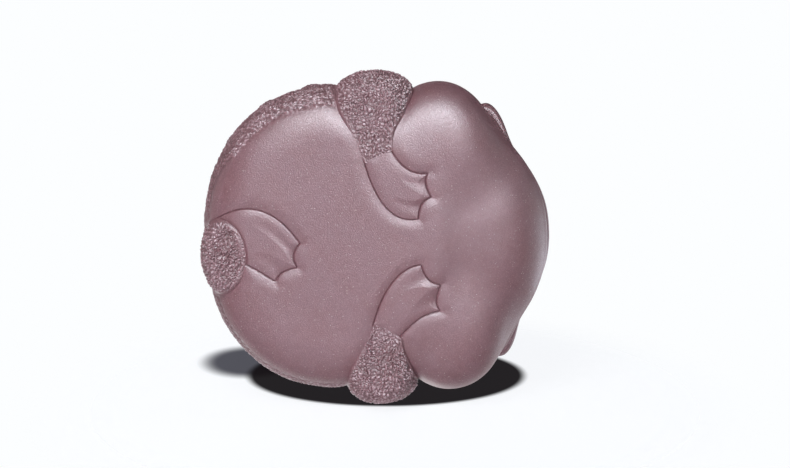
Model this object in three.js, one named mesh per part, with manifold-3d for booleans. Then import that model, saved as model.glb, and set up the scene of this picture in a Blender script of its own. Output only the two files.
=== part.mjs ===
// A hollow clay tea pet: a squat toad with three legs, smooth underneath and warty on the back.
// Millimetres. The head looks along -Y, +X is the toad's left, and the flat belly rests on z = 0.
import * as THREE from 'three';
import { mergeVertices } from 'three/addons/utils/BufferGeometryUtils.js';
import Module from 'manifold-3d';

const wasm = await Module();
wasm.setup();

// Trunk
const torsoWidth = 86.8;
const torsoLength = 77.2;
const tailReach = 49.1;        // origin to the rump
const backHeight = 46;
const girthHeight = 15;        // height of the widest line round the flanks
const flankFullness = 2.2;     // 2 is an ellipse in plan, more is squarer
const bellyRoll = 7;           // width over which the flat belly rolls up into the sides
const crownBlend = 8;          // widths over which the lumps of clay are smoothed into each other
const chinBlend = 5;
const jowlBlend = 7.3;
const browBlend = 8;
const wall = 5;                // thickness of the clay

// Head
const headTurn = 2.1;          // degrees that the head looks to its own right
const headAside = 1.3;         // the middle of the head lies this far to the left of the trunk's
const chinReach = 48.2;        // origin to the front of the chin
const chinWidth = 62.6;
const chinLength = 49.5;
const chinDepth = 32;
const chinFullness = 2.2;
const snoutReach = 50.1;       // origin to the front of the upper jaw
const crownWidth = 49.2;
const crownLength = 60;
const crownHeight = 44;
const crownDepth = 38;
const jowlSize = new THREE.Vector3(37.8, 32.6, 34);
const jowlInset = 18;          // flank to the middle of a jowl
const jowlForward = 19.2;
const jowlHeight = 14.5;
const lipSize = new THREE.Vector3(21.8, 6.4, 13);  // swelling of the upper lip at a corner of the mouth
const lipInset = 17.2;         // flank to the middle of a lip
const lipForward = 36.8;
const lipHeight = 23;
const lipTurn = 13.5;          // degrees that a lip runs forward as it runs inward
const mouthHeight = 17.5;
const mouthGap = 0.9;
const mouthDepth = 2;

// Eyes
const browSize = new THREE.Vector3(18.6, 27, 19);  // the long mound that carries an eye
const browInset = 20.6;        // flank to the middle of the mound
const browForward = 25.8;
const browHeight = 35;
const eyeRadius = 5.6;
const eyeStandOut = 6.6;       // middle of the mound to the middle of the eyeball
const lidSetback = 0.28;       // how far the lid's edge lies behind the middle of the eyeball
const lidThickness = 1.7;
const eyeLook = new THREE.Vector3(0.42, -0.86, 0.4).normalize();

// Folded forelegs
const elbowSize = new THREE.Vector3(17.9, 25.8, 25);
const elbowInset = { left: 4.9, right: 5.4 };      // flank to the middle of the elbow
const elbowBack = { left: -0.7, right: 1.2 };
const elbowHeight = 12.4;
const elbowBlend = 3;
const armStart = 9;            // radius of the upper arm at the elbow
const armEnd = 6.6;            // radius of the upper arm at the shoulder
const shoulderInset = 10.2;
const shoulderForward = 5.5;
const shoulderHeight = 28.5;
const forearmStart = 8.2;      // radius of the forearm where it leaves the elbow
const forearmEnd = 4.5;        // radius of the forearm at the ankle
const forearmInset = 6.9;
const forearmBack = 0.6;
const forearmHeight = 6;
const forearmBlend = 4;
const ankleInset = 20.4;
const ankleHeight = 1.2;
const ankleForward = 2.6;
const ankleEdge = 0.6;         // rounding where the leg ends over the foot
const legShift = { left: -0.9, right: 0.4 };
const legHeartOffset = new THREE.Vector3(-1, -1.1, 3.5);  // from the forearm's start to the leg's middle

// Hind leg
const thighSize = new THREE.Vector3(23.4, 17.8, 23);
const thighAside = 3.3;
const thighInset = 7.8;        // rump to the middle of the thigh
const thighHeight = 8.8;

// Webbed feet: each toe tip is a reach from the ankle at an angle in plan
const webDip = 1.5;            // how deep the web scallops in between two toe tips
const webHollow = 0.6;         // how deep the web sinks between two toe ribs
const heelWidth = 8.6;
const heelTuck = 2;            // how far the heel runs back under the leg
const frontFeet = {
  left: { reach: [20, 19.2, 15.7], angle: [28.3, 52.2, 72.6], innerBow: [16.2, -0.7], outerBow: [2.4, 7.3] },
  right: { reach: [20.4, 18, 14.2], angle: [30, 51.5, 71.6], innerBow: [15.9, -2.9], outerBow: [3.8, 7.7] },
};
const hindAnkleAside = 0.6;
const hindAnkleInset = 8.5;    // rump to the hind ankle
const hindReach = [19.6, 19.8, 16.2];
const hindAngle = [-91.2, -70.8, -49.4];
const hindInnerBow = [-17.4, -8.8];
const hindOuterBow = [5.4, -5.2];
const hindHeelInner = [-6.4, 6.2];
const hindHeelOuter = [4.4, -1.6];

// Fits
const clearance = 0.3;         // slip gap between two pieces of clay
const cutOverlap = 0.1;        // how far a cut begins outside what it cuts
const bedDepth = 2.8;          // how deep a leg or foot is let into the body

// Parting of the trunk
const partingHeight = 3;       // the belly piece ends this high on the flanks
const partingTurn = 8;         // half the length over which the parting climbs to the mouth
const neckForward = 9;
const neckLean = 4;

// Small features
const ventDiameter = 4;
const nostrilSpan = 11;
const nostrilHeight = 31;
const nostrilSize = 2.2;
const wartRise = 1.3;
const lowWartRadius = 4.3;
const middleWartRadius = 4;
const highWartRadius = 3.6;
const wartRings = [
  { count: 4, first: 22.5, step: 16.8, climb: 6, radius: lowWartRadius },
  { count: 3, first: 30, step: 23, climb: 33, radius: middleWartRadius },
  { count: 2, first: 42, step: 34, climb: 58, radius: highWartRadius },
];

// Mesh fineness, in facets along one edge of the box that a skin is blown up from
const bodyFacets = 15;
const hollowFacets = 10;
const bedFacets = 9;
const legFacets = 7;
const flatWithin = 0.01;       // a skin point this close to the ground plane lies on it

const heartRise = 2;           // how far above the girth the middle of the body is taken
const bodyHeart = new THREE.Vector3(0, 0, girthHeight + heartRise);
const outsideReach = torsoWidth;

// Signed distances. Each is below zero inside the clay and measured in millimetres.

// Ellipsoid whose outline in plan may be fuller than an ellipse.
function ovoid(point, centre, size, fullness = 2) {
  const rx = size.x / 2;
  const ry = size.y / 2;
  const rz = size.z / 2;
  const x = Math.abs(point.x - centre.x) / rx + 1e-9;
  const y = Math.abs(point.y - centre.y) / ry + 1e-9;
  const z = Math.abs(point.z - centre.z) / rz + 1e-9;
  const plan = (x ** fullness + y ** fullness) ** (1 / fullness);
  const whole = Math.hypot(plan, z);
  const slope = plan / whole;
  const gx = slope * (x / plan) ** (fullness - 1) / rx;
  const gy = slope * (y / plan) ** (fullness - 1) / ry;
  const gz = z / whole / rz;
  return (whole - 1) / Math.hypot(gx, gy, gz);
}

// Rod from a to b whose radius changes evenly from one to the other.
function taperedRod(point, a, b, radiusA, radiusB) {
  const axis = b.clone().sub(a);
  const along = THREE.MathUtils.clamp(point.clone().sub(a).dot(axis) / axis.lengthSq(), 0, 1);
  const nearest = a.clone().addScaledVector(axis, along);
  return point.distanceTo(nearest) - THREE.MathUtils.lerp(radiusA, radiusB, along);
}

function blendUnion(a, b, width) {
  const h = Math.max(width - Math.abs(a - b), 0) / width;
  return Math.min(a, b) - h * h * width / 4;
}

function blendCut(a, b, width) {
  return -blendUnion(-a, -b, width);
}

const torso = {
  centre: new THREE.Vector3(0, tailReach - torsoLength / 2, girthHeight),
  size: new THREE.Vector3(torsoWidth, torsoLength, 2 * (backHeight - girthHeight)),
};
const chin = {
  centre: new THREE.Vector3(0, chinLength / 2 - chinReach, mouthHeight - 0.5),
  size: new THREE.Vector3(chinWidth, chinLength, chinDepth),
};
const crown = {
  centre: new THREE.Vector3(0, crownLength / 2 - snoutReach, crownHeight - crownDepth / 2),
  size: new THREE.Vector3(crownWidth, crownLength, crownDepth),
};
const jowl = {
  centre: new THREE.Vector3(torsoWidth / 2 - jowlInset, -jowlForward, jowlHeight),
  size: jowlSize,
};
const brow = {
  centre: new THREE.Vector3(torsoWidth / 2 - browInset, -browForward, browHeight),
  size: browSize,
};

// The head is a little turned and set aside on the trunk: from the head's own frame to the part's,
// and back.
const headAngle = THREE.MathUtils.degToRad(headTurn);

function fromHead(place) {
  const own = new THREE.Vector3(place.x + headAside, place.y, place.z);
  return own.applyAxisAngle(new THREE.Vector3(0, 0, 1), -headAngle);
}

function toHead(point) {
  const own = point.clone().applyAxisAngle(new THREE.Vector3(0, 0, 1), headAngle);
  return own.setX(own.x - headAside);
}

// The whole body without limbs, flat underneath.
function bodyDistance(point) {
  const half = toHead(point);
  half.x = Math.abs(half.x);
  let d = ovoid(point, torso.centre, torso.size, flankFullness);
  d = blendUnion(d, ovoid(half, crown.centre, crown.size, chinFullness), crownBlend);
  d = blendUnion(d, ovoid(half, chin.centre, chin.size, chinFullness), chinBlend);
  d = blendUnion(d, ovoid(half, jowl.centre, jowl.size), jowlBlend);
  d = blendUnion(d, ovoid(half, brow.centre, brow.size), browBlend);
  return blendCut(d, -point.z, bellyRoll);
}

// One foreleg seen from its own side: upper arm down the flank to the elbow, forearm running in
// under the belly, squared off at the ankle where the foot begins.
const flank = torsoWidth / 2;
const shoulder = new THREE.Vector3(flank - shoulderInset, -shoulderForward, shoulderHeight);
const forearmTop = new THREE.Vector3(flank - forearmInset, forearmBack, forearmHeight);
const ankle = new THREE.Vector3(flank - ankleInset, -ankleForward, ankleHeight);
const legAxis = new THREE.Vector2(forearmTop.x - ankle.x, forearmTop.y - ankle.y).normalize();

function forelegDistance(point, side) {
  const own = new THREE.Vector3(point.x * side.sign, point.y - side.shift, point.z);
  const elbow = side.elbow;
  const upperArm = taperedRod(own, elbow, shoulder, armStart, armEnd);
  const forearm = taperedRod(own, forearmTop, ankle, forearmStart, forearmEnd);
  const pastAnkle = (ankle.x - own.x) * legAxis.x + (ankle.y - own.y) * legAxis.y;
  let d = blendUnion(ovoid(own, elbow, elbowSize), upperArm, elbowBlend);
  d = blendUnion(d, forearm, forearmBlend);
  return blendCut(d, pastAnkle, ankleEdge);
}

const thighCentre = new THREE.Vector3(thighAside, tailReach - thighInset, thighHeight);

function thighDistance(point) {
  return ovoid(point, thighCentre, thighSize);
}

// Solids from three.js geometry, and back

function solid(geometry) {
  const bare = geometry.clone();
  bare.deleteAttribute('normal');
  bare.deleteAttribute('uv');
  const merged = mergeVertices(bare, 1e-4);
  return new wasm.Manifold(new wasm.Mesh({
    numProp: 3,
    vertProperties: new Float32Array(merged.attributes.position.array),
    triVerts: new Uint32Array(merged.index.array),
  }));
}

// A box whose points are pushed out from the heart until they meet the surface where the
// distance is zero: a closed skin of even, four-sided facets without poles.
function blownSkin(distance, heart, facets, grow = 0) {
  const geometry = new THREE.BoxGeometry(2, 2, 2, facets, facets, facets);
  const position = geometry.attributes.position;
  const direction = new THREE.Vector3();
  const point = new THREE.Vector3();
  for (let i = 0; i < position.count; i++) {
    direction.fromBufferAttribute(position, i);
    direction.set(...direction.toArray().map((v) => Math.tan(v * Math.PI / 4))).normalize();
    let reach = outsideReach;
    for (let step = 0; step < 90; step++) {
      point.copy(heart).addScaledVector(direction, reach);
      reach -= 0.85 * (distance(point) - grow);
    }
    point.copy(heart).addScaledVector(direction, reach);
    const level = Math.abs(point.z) < flatWithin ? 0 : point.z;
    position.setXYZ(i, point.x, point.y, level);
  }
  return solid(geometry);
}

function ellipsoid(centre, size, turns = 16, rings = 10, turn = new THREE.Quaternion()) {
  const geometry = new THREE.SphereGeometry(0.5, turns, rings);
  geometry.applyMatrix4(new THREE.Matrix4().compose(centre, turn, size));
  return solid(geometry);
}

// A prism with the outline in plan, from one height to another.
function planPrism(outline, low, high) {
  const geometry = new THREE.ExtrudeGeometry(new THREE.Shape(outline), {
    depth: high - low, bevelEnabled: false,
  });
  geometry.translate(0, 0, low);
  return solid(geometry);
}

// A prism across the whole width whose outline is given as points (y, z).
function sidePrism(outline, width) {
  const geometry = new THREE.ExtrudeGeometry(new THREE.Shape(outline), {
    depth: width, bevelEnabled: false,
  });
  geometry.translate(0, 0, -width / 2);
  const toSide = new THREE.Matrix4().makeBasis(
    new THREE.Vector3(0, 1, 0), new THREE.Vector3(0, 0, 1), new THREE.Vector3(1, 0, 0));
  return solid(geometry.applyMatrix4(toSide));
}

function halfSpace(point, outward, extent = 120) {
  const geometry = new THREE.BoxGeometry(extent, extent, extent);
  const turn = new THREE.Quaternion().setFromUnitVectors(new THREE.Vector3(0, 0, 1), outward);
  const centre = point.clone().addScaledVector(outward, -extent / 2);
  geometry.applyMatrix4(new THREE.Matrix4().compose(centre, turn, new THREE.Vector3(1, 1, 1)));
  return solid(geometry);
}

// The outline moved outwards by a distance, for the bed that a foot lies in.
function grownOutline(points, distance) {
  return points.map((p, i) => {
    const before = points[(i + points.length - 1) % points.length];
    const after = points[(i + 1) % points.length];
    const a = p.clone().sub(before).normalize();
    const b = after.clone().sub(p).normalize();
    const normal = new THREE.Vector2(a.y + b.y, -a.x - b.x);
    const mitre = Math.max(normal.lengthSq() / 2, 0.5);
    return p.clone().addScaledVector(normal, distance / mitre);
  });
}

// Outline of a webbed foot, anticlockwise: heel, inner edge, three toe tips with a scallop
// between each two, outer edge.
function footOutline(spec) {
  const tips = spec.reach.map((reach, i) => spec.place(
    reach * Math.cos(THREE.MathUtils.degToRad(spec.angle[i])),
    reach * Math.sin(THREE.MathUtils.degToRad(spec.angle[i]))));
  const [heelInner, heelOuter] = spec.heel;
  const heelMiddle = heelInner.clone().add(heelOuter).multiplyScalar(0.5);
  const path = new THREE.Path();
  path.moveTo(heelInner.x, heelInner.y);
  path.quadraticCurveTo(spec.innerBow.x, spec.innerBow.y, tips[0].x, tips[0].y);
  for (let i = 1; i < tips.length; i++) {
    const middle = tips[i - 1].clone().add(tips[i]).multiplyScalar(0.5);
    const inward = heelMiddle.clone().sub(middle).normalize();
    const dip = middle.addScaledVector(inward, 2 * webDip);
    path.quadraticCurveTo(dip.x, dip.y, tips[i].x, tips[i].y);
  }
  path.quadraticCurveTo(spec.outerBow.x, spec.outerBow.y, heelOuter.x, heelOuter.y);
  const points = path.getPoints(7);
  if (THREE.ShapeUtils.area(points) < 0) points.reverse();
  return { points, tips, heelMiddle };
}

const sides = {};
for (const [name, sign] of [['left', 1], ['right', -1]]) {
  const shift = legShift[name];
  const elbow = new THREE.Vector3(flank - elbowInset[name], elbowBack[name] - shift, elbowHeight);
  sides[name] = { sign, shift, elbow };
}

// Plan position from a place given as (towards the middle, towards the head) from the ankle.
function frontPlace(side) {
  const from = new THREE.Vector2(ankle.x, ankle.y + side.shift);
  return (inward, forward) => new THREE.Vector2(side.sign * (from.x - inward), from.y - forward);
}

function frontFoot(name) {
  const side = sides[name];
  const place = frontPlace(side);
  const across = [-legAxis.y, legAxis.x].map((v) => v * heelWidth / 2);
  const back = [-legAxis.x * heelTuck, -legAxis.y * heelTuck];
  return footOutline({
    place,
    reach: frontFeet[name].reach,
    angle: frontFeet[name].angle,
    innerBow: place(...frontFeet[name].innerBow),
    outerBow: place(...frontFeet[name].outerBow),
    heel: [
      place(back[0] - across[0], back[1] - across[1]),
      place(back[0] + across[0], back[1] + across[1]),
    ],
  });
}

function hindFoot() {
  const place = (x, y) => new THREE.Vector2(hindAnkleAside + x, tailReach - hindAnkleInset + y);
  return footOutline({
    place,
    reach: hindReach,
    angle: hindAngle,
    innerBow: place(...hindInnerBow),
    outerBow: place(...hindOuterBow),
    heel: [place(...hindHeelInner), place(...hindHeelOuter)],
  });
}

// A foot is a patch of the body's own skin, cut round its outline and sunk between its toe ribs.
function footPiece(outline, limb) {
  let piece = planPrism(outline.points, -1, girthHeight).intersect(bodySkin).subtract(bedFloor);
  for (let i = 1; i < outline.tips.length; i++) {
    const webEdge = outline.tips[i - 1].clone().add(outline.tips[i]).multiplyScalar(0.5);
    const length = 1.1 * webEdge.distanceTo(outline.heelMiddle);
    const middle = webEdge.clone().lerp(outline.heelMiddle, 0.3);
    const heading = Math.atan2(webEdge.y - outline.heelMiddle.y, webEdge.x - outline.heelMiddle.x);
    const turn = new THREE.Quaternion().setFromAxisAngle(new THREE.Vector3(0, 0, 1), heading);
    const width = 0.7 * outline.tips[i - 1].distanceTo(outline.tips[i]);
    const size = new THREE.Vector3(length, width, 2 * webHollow);
    piece = piece.subtract(ellipsoid(new THREE.Vector3(middle.x, middle.y, 0), size, 12, 8, turn));
  }
  return onePiece(piece.subtract(limb));
}

function footBed(outline) {
  const grown = grownOutline(outline.points, clearance);
  return planPrism(grown, -1, girthHeight).subtract(bedBottom);
}

// The largest connected part, without the crumbs that a cut may leave.
function onePiece(manifold) {
  return manifold.decompose().sort((a, b) => b.volume() - a.volume())[0];
}

// Skins of the body at several depths
const bodySkin = blownSkin(bodyDistance, bodyHeart, bodyFacets).intersect(
  halfSpace(new THREE.Vector3(0, 0, 0), new THREE.Vector3(0, 0, -1)));
const hollow = blownSkin(bodyDistance, bodyHeart, hollowFacets, -wall);
const bedFloor = blownSkin(bodyDistance, bodyHeart, bedFacets, -bedDepth);
const bedBottom = blownSkin(bodyDistance, bodyHeart, bedFacets, -bedDepth - clearance);
const wartSeat = blownSkin(bodyDistance, bodyHeart, bodyFacets, clearance);
const ground = halfSpace(new THREE.Vector3(0, 0, 0), new THREE.Vector3(0, 0, -1));

// Limbs, and the same limbs grown by the clearance to cut their sockets
const legHeart = forearmTop.clone().add(legHeartOffset);
const thighHeart = thighCentre.clone();
const legs = {};
const legSockets = {};
for (const name of ['left', 'right']) {
  const side = sides[name];
  const distance = (point) => forelegDistance(point, side);
  const heart = new THREE.Vector3(side.sign * legHeart.x, legHeart.y + side.shift, legHeart.z);
  legs[name] = blownSkin(distance, heart, legFacets);
  legSockets[name] = blownSkin(distance, heart, legFacets, clearance);
}
legs.hind = blownSkin(thighDistance, thighHeart, legFacets);
legSockets.hind = blownSkin(thighDistance, thighHeart, legFacets, clearance);

const footOutlines = { left: frontFoot('left'), right: frontFoot('right'), hind: hindFoot() };

// The clay wall, with the beds of the limbs let into it
let clay = bodySkin.subtract(hollow);
for (const name of Object.keys(legs)) {
  clay = clay.subtract(legSockets[name].subtract(bedBottom));
  clay = clay.subtract(footBed(footOutlines[name]));
}

// Parting lines as seen from the side: along the flanks, up in front of the legs to the mouth,
// and over the neck.
const far = 2 * outsideReach;
const climb = [];
for (let i = 0; i <= 8; i++) {
  const t = i / 8;
  const height = THREE.MathUtils.lerp(partingHeight, mouthHeight, THREE.MathUtils.smoothstep(t, 0, 1));
  climb.push(new THREE.Vector2(THREE.MathUtils.lerp(partingTurn, -partingTurn, t), height));
}
const bellySide = [
  new THREE.Vector2(far, -far), new THREE.Vector2(far, partingHeight), ...climb,
  new THREE.Vector2(-far, mouthHeight), new THREE.Vector2(-far, -far),
];
const raised = climb.map((p) => new THREE.Vector2(p.x + clearance * 0.7, p.y + clearance));
const neckFoot = new THREE.Vector2(-neckForward, mouthHeight + clearance);
const neckTop = new THREE.Vector2(-neckForward + neckLean, backHeight + far);
const backSide = [
  new THREE.Vector2(far, partingHeight + clearance), ...raised, neckFoot, neckTop,
  new THREE.Vector2(far, backHeight + far),
];
const crownSide = [
  new THREE.Vector2(neckFoot.x - clearance, neckFoot.y), new THREE.Vector2(neckTop.x - clearance, neckTop.y),
  new THREE.Vector2(-far, neckTop.y), new THREE.Vector2(-far, neckFoot.y),
];

const bellyBlock = sidePrism(bellySide, far);
const backBlock = sidePrism(backSide, far);
const crownBlock = sidePrism(crownSide, far);

// Mouth slit: a flat gap round the front of the head, as deep as the lips are thick
const mouthFloor = blownSkin(bodyDistance, bodyHeart, bedFacets, -mouthDepth);
const slitBack = -neckForward - jowlSize.y / 4;
const slitSide = [
  new THREE.Vector2(-far, mouthHeight - cutOverlap), new THREE.Vector2(slitBack, mouthHeight - cutOverlap),
  new THREE.Vector2(slitBack, mouthHeight + mouthGap), new THREE.Vector2(-far, mouthHeight + mouthGap),
];
const mouthSlit = sidePrism(slitSide, far).subtract(mouthFloor);

// Kiln vent through the front wall of the mouth
const ventGeometry = new THREE.CylinderGeometry(ventDiameter / 2, ventDiameter / 2, 4 * wall, 16);
ventGeometry.translate(...fromHead(new THREE.Vector3(0, wall - chinReach, mouthHeight + mouthGap / 2)));
const vent = solid(ventGeometry);

const headPoint = (x, z) => {
  let reach = outsideReach;
  for (let step = 0; step < 90; step++) {
    reach -= 0.85 * bodyDistance(fromHead(new THREE.Vector3(x, -reach, z)));
  }
  return fromHead(new THREE.Vector3(x, -reach, z));
};

// Eyes
const eyeCentre = brow.centre.clone().addScaledVector(eyeLook, eyeStandOut);
const mirrored = (v, sign) => new THREE.Vector3(v.x * sign, v.y, v.z);
const cube = (edge) => new THREE.Vector3(edge, edge, edge);

function eyePieces(sign) {
  const centre = fromHead(mirrored(eyeCentre, sign));
  const ball = ellipsoid(centre, cube(2 * eyeRadius), 14, 8);
  const socket = ellipsoid(centre, cube(2 * (eyeRadius + clearance)), 14, 8);
  const lidOuter = ellipsoid(centre, cube(2 * (eyeRadius + clearance + lidThickness)), 14, 8);
  const lidCut = new THREE.Vector3(0.2 * sign, -0.72, -0.66).normalize();
  const hood = halfSpace(centre.clone().addScaledVector(lidCut, lidSetback), lidCut);
  const lid = lidOuter.intersect(hood).subtract(socket).subtract(wartSeat);
  return { ball, socket, lid: onePiece(lid) };
}

const eyes = { left: eyePieces(1), right: eyePieces(-1) };

// The upper lip swells at each corner of the mouth, over the jowl
function lipSwelling(sign) {
  const centre = new THREE.Vector3(sign * (flank - lipInset), -lipForward, lipHeight);
  const turn = new THREE.Quaternion().setFromAxisAngle(
    new THREE.Vector3(0, 0, 1), sign * THREE.MathUtils.degToRad(lipTurn) - headAngle);
  return ellipsoid(fromHead(centre), lipSize, 12, 8, turn).subtract(hollow);
}

const belly = onePiece(clay.intersect(bellyBlock).subtract(vent));
const back = onePiece(clay.intersect(backBlock));
let head = clay.subtract(mouthSlit).add(lipSwelling(1)).add(lipSwelling(-1));
head = head.intersect(crownBlock).subtract(vent);
for (const sign of [1, -1]) {
  const nostril = headPoint(sign * nostrilSpan / 2, nostrilHeight);
  head = head.subtract(ellipsoid(nostril, cube(nostrilSize), 10, 8));
}
head = onePiece(head.subtract(eyes.left.socket).subtract(eyes.right.socket));

// Warts: flat clay pellets set on the back in rings that climb towards the spine
function wartPiece(azimuth, climbAngle, radius) {
  const a = THREE.MathUtils.degToRad(azimuth);
  const c = THREE.MathUtils.degToRad(climbAngle);
  const direction = new THREE.Vector3(Math.cos(a) * Math.cos(c), Math.sin(a) * Math.cos(c), Math.sin(c));
  let reach = outsideReach;
  const point = new THREE.Vector3();
  for (let step = 0; step < 90; step++) {
    point.copy(bodyHeart).addScaledVector(direction, reach);
    reach -= 0.85 * bodyDistance(point);
  }
  const probe = 0.01;
  const here = bodyDistance(point);
  const normal = new THREE.Vector3(
    bodyDistance(point.clone().setX(point.x + probe)) - here,
    bodyDistance(point.clone().setY(point.y + probe)) - here,
    bodyDistance(point.clone().setZ(point.z + probe)) - here).normalize();
  const turn = new THREE.Quaternion().setFromUnitVectors(new THREE.Vector3(0, 1, 0), normal);
  const height = 2 * (wartRise + clearance);
  const size = new THREE.Vector3(2 * radius, height, 2 * radius);
  return onePiece(ellipsoid(point, size, 10, 5, turn).subtract(wartSeat));
}

// Fired clay: the same body everywhere, a little darker where the skin is rough
const smoothClay = { color: 0x957680, roughness: 0.55, metalness: 0 };
const roughClay = { color: 0x8a6a72, roughness: 0.72, metalness: 0 };

const toad = new THREE.Group();
toad.name = 'tea_pet';

function addPiece(name, manifold, finish) {
  const mesh = manifold.getMesh();
  const geometry = new THREE.BufferGeometry();
  geometry.setAttribute('position', new THREE.BufferAttribute(new Float32Array(mesh.vertProperties), 3));
  geometry.setIndex(new THREE.BufferAttribute(new Uint32Array(mesh.triVerts), 1));
  geometry.computeVertexNormals();
  const piece = new THREE.Mesh(geometry, new THREE.MeshStandardMaterial(finish));
  piece.name = name;
  toad.add(piece);
}

addPiece('belly_plate', belly, smoothClay);
addPiece('back_shell', back, roughClay);
addPiece('head_crown', head, smoothClay);
addPiece('front_left_leg', onePiece(legs.left.subtract(bedFloor).intersect(ground)), roughClay);
addPiece('front_right_leg', onePiece(legs.right.subtract(bedFloor).intersect(ground)), roughClay);
addPiece('hind_leg', onePiece(legs.hind.subtract(bedFloor).intersect(ground)), roughClay);
addPiece('front_left_foot', footPiece(footOutlines.left, legSockets.left), smoothClay);
addPiece('front_right_foot', footPiece(footOutlines.right, legSockets.right), smoothClay);
addPiece('hind_foot', footPiece(footOutlines.hind, legSockets.hind), smoothClay);
addPiece('left_eyeball', eyes.left.ball, smoothClay);
addPiece('right_eyeball', eyes.right.ball, smoothClay);
addPiece('left_eyelid', eyes.left.lid, roughClay);
addPiece('right_eyelid', eyes.right.lid, roughClay);

let wartNumber = 0;
for (const ring of wartRings) {
  for (const sign of [1, -1]) {
    for (let i = 0; i < ring.count; i++) {
      const azimuth = ring.first + i * ring.step;
      wartNumber += 1;
      const name = `back_wart_${String(wartNumber).padStart(2, '0')}`;
      addPiece(name, wartPiece(sign > 0 ? azimuth : 180 - azimuth, ring.climb, ring.radius), roughClay);
    }
  }
}

export default toad;
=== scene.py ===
"""A hollow clay tea pet: a squat toad with three legs, seen from below.

Lengths here are millimetres in the frame of the CAD model: the head looks along -Y, +X is the
toad's left, and the flat belly rests on z = 0. Meshes are scaled to metres as they are made.
"""

import math

import bpy
import numpy as np
from mathutils import Matrix, Vector


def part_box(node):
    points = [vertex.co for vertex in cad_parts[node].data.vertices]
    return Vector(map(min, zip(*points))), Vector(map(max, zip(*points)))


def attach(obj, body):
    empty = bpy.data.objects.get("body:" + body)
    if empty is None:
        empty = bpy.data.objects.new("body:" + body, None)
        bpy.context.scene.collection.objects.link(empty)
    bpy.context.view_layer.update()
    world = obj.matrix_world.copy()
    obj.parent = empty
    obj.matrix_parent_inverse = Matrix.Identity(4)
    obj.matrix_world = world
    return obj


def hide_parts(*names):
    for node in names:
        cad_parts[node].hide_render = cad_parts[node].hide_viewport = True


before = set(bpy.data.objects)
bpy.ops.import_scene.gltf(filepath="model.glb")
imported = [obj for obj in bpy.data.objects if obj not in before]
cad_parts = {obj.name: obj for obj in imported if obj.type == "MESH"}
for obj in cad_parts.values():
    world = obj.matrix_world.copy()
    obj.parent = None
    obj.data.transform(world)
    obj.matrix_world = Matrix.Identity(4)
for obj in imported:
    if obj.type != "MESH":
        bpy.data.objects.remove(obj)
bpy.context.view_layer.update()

MM = 0.001
FINE = 1.0        # share of the full mesh fineness


# camera

PICTURE_WIDTH = 790
PICTURE_HEIGHT = 468
VIEW_TILT = math.radians(6.5)            # the toad leans back on its left flank by this much
VIEW_ROLL = math.radians(1.5)
VIEW_DISTANCE = 650.0
PIXELS_PER_MM = 3.571                    # at the belly
BELLY_PIXEL = (376.0, 241.5)             # where the middle of the belly shows
SENSOR = 36.0

VIEW_AXIS = np.array([math.sin(VIEW_TILT), 0.0, math.cos(VIEW_TILT)])
level_right = np.array([0.0, -1.0, 0.0])
level_up = np.array([-math.cos(VIEW_TILT), 0.0, math.sin(VIEW_TILT)])
VIEW_RIGHT = math.cos(VIEW_ROLL) * level_right - math.sin(VIEW_ROLL) * level_up
VIEW_UP = math.sin(VIEW_ROLL) * level_right + math.cos(VIEW_ROLL) * level_up


def view_place(right, up, deep):
    """Millimetres to the right, up and away in the picture, from the middle of the belly."""
    return right * VIEW_RIGHT + up * VIEW_UP + deep * VIEW_AXIS


def make_camera():
    across = (BELLY_PIXEL[0] - PICTURE_WIDTH / 2) / PIXELS_PER_MM
    above = (PICTURE_HEIGHT / 2 - BELLY_PIXEL[1]) / PIXELS_PER_MM
    data = bpy.data.cameras.new("picture_camera")
    data.sensor_fit = "HORIZONTAL"
    data.sensor_width = SENSOR
    data.lens = PIXELS_PER_MM * VIEW_DISTANCE / PICTURE_WIDTH * SENSOR
    data.clip_start = 0.02
    data.clip_end = 20.0
    camera = bpy.data.objects.new("picture_camera", data)
    turn = Matrix((VIEW_RIGHT, VIEW_UP, -VIEW_AXIS)).transposed().to_4x4()
    place = view_place(-across, -above, -VIEW_DISTANCE)
    camera.matrix_world = Matrix.Translation(Vector(place * MM)) @ turn
    bpy.context.scene.collection.objects.link(camera)
    bpy.context.scene.camera = camera


make_camera()


# the toad's sizes

WALL = 5.0
BED_DEPTH = 2.8
HEART = np.array([0.0, 0.0, 17.0])
REACH = 90.0

TORSO = dict(centre=(0, 10.5, 15), size=(86.8, 77.2, 62), fullness=2.2)
CROWN = dict(centre=(0, -20.1, 25), size=(49.2, 60, 38), fullness=2.2)
CHIN = dict(centre=(0, -23.45, 17), size=(62.6, 49.5, 32), fullness=2.2)
JOWL = dict(centre=(25.4, -19.2, 14.5), size=(37.8, 32.6, 34))
BROW = dict(centre=(22.8, -25.8, 35), size=(18.6, 27, 19))
CROWN_BLEND = 8.0
CHIN_BLEND = 5.0
JOWL_BLEND = 7.3
BROW_BLEND = 8.0
BELLY_ROLL = 7.0

HEAD_TURN = math.radians(2.1)
HEAD_ASIDE = 1.3
LIP_CENTRE = (23.3, -34.5, 21.8)
LIP_SIZE = (27.4, 11.0, 14.0)
LIP_TURN = math.radians(4.4)
LIP_BLEND = 2.5
MOUTH_HEIGHT = 17.5

PARTING_HEIGHT = 3.0
PARTING_TURN = 8.0
NECK_FORWARD = 9.0
NECK_LEAN = 4.0
NECK_TOP = 219.6                         # height at which the neck's parting has leant back fully

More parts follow.
